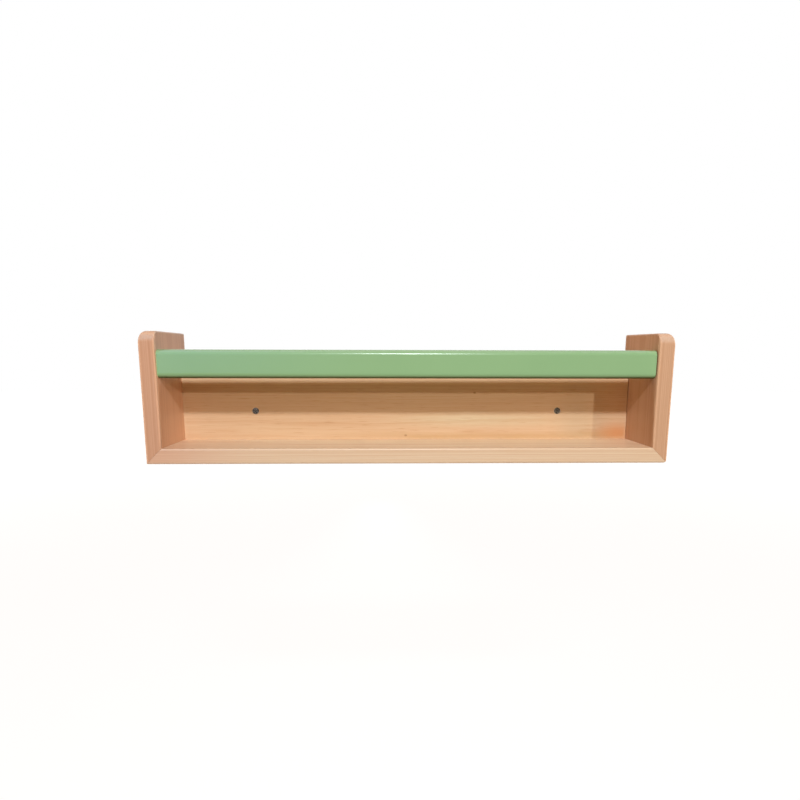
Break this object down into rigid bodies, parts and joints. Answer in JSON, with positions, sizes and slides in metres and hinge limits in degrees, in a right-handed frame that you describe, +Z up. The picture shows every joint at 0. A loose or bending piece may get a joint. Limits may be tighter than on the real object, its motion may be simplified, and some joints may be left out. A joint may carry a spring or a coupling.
{
  "type": "wall bookcase",
  "caption": "Small wall-hung bookcase: mitred pale wood sides and shelf, a back panel with fixing screws, and a rounded green front rail that keeps the books in.",
  "frame": {"origin": "on the wall face of the back panel, midway between the two wall screws", "axes": "+X along the shelf to the right of someone facing it, +Y into the wall, +Z up; the front looks along -Y"},
  "size_m": [0.6, 0.1275, 0.15],
  "materials": {
    "side_wood": "satin clear lacquer over pale straight-grained softwood, grain upright",
    "shelf_wood": "satin clear lacquer over pale straight-grained softwood, grain along the shelf",
    "back_wood": "satin clear lacquer over pale softwood, grain along the panel",
    "green_paint": "smooth gloss green paint over wood",
    "dark_steel": "dark plated steel",
    "dowel_beech": "bare beech"
  },
  "bodies": {
    "root": {"left_side": "side_wood", "right_side": "side_wood", "bottom_shelf": "shelf_wood", "back_panel": "back_wood", "front_rail": "green_paint", "wall_screw_left": "dark_steel", "wall_screw_right": "dark_steel", "mitre_dowel_left_front": "dowel_beech", "mitre_dowel_left_rear": "dowel_beech", "mitre_dowel_right_front": "dowel_beech", "mitre_dowel_right_rear": "dowel_beech", "rail_dowel_left_lower": "dowel_beech", "rail_dowel_left_upper": "dowel_beech", "rail_dowel_right_lower": "dowel_beech", "rail_dowel_right_upper": "dowel_beech", "back_dowel_left_lower": "dowel_beech", "back_dowel_left_upper": "dowel_beech", "back_dowel_right_lower": "dowel_beech", "back_dowel_right_upper": "dowel_beech", "shelf_dowel_left": "dowel_beech", "shelf_dowel_middle": "dowel_beech", "shelf_dowel_right": "dowel_beech"}
  },
  "joints": []
}
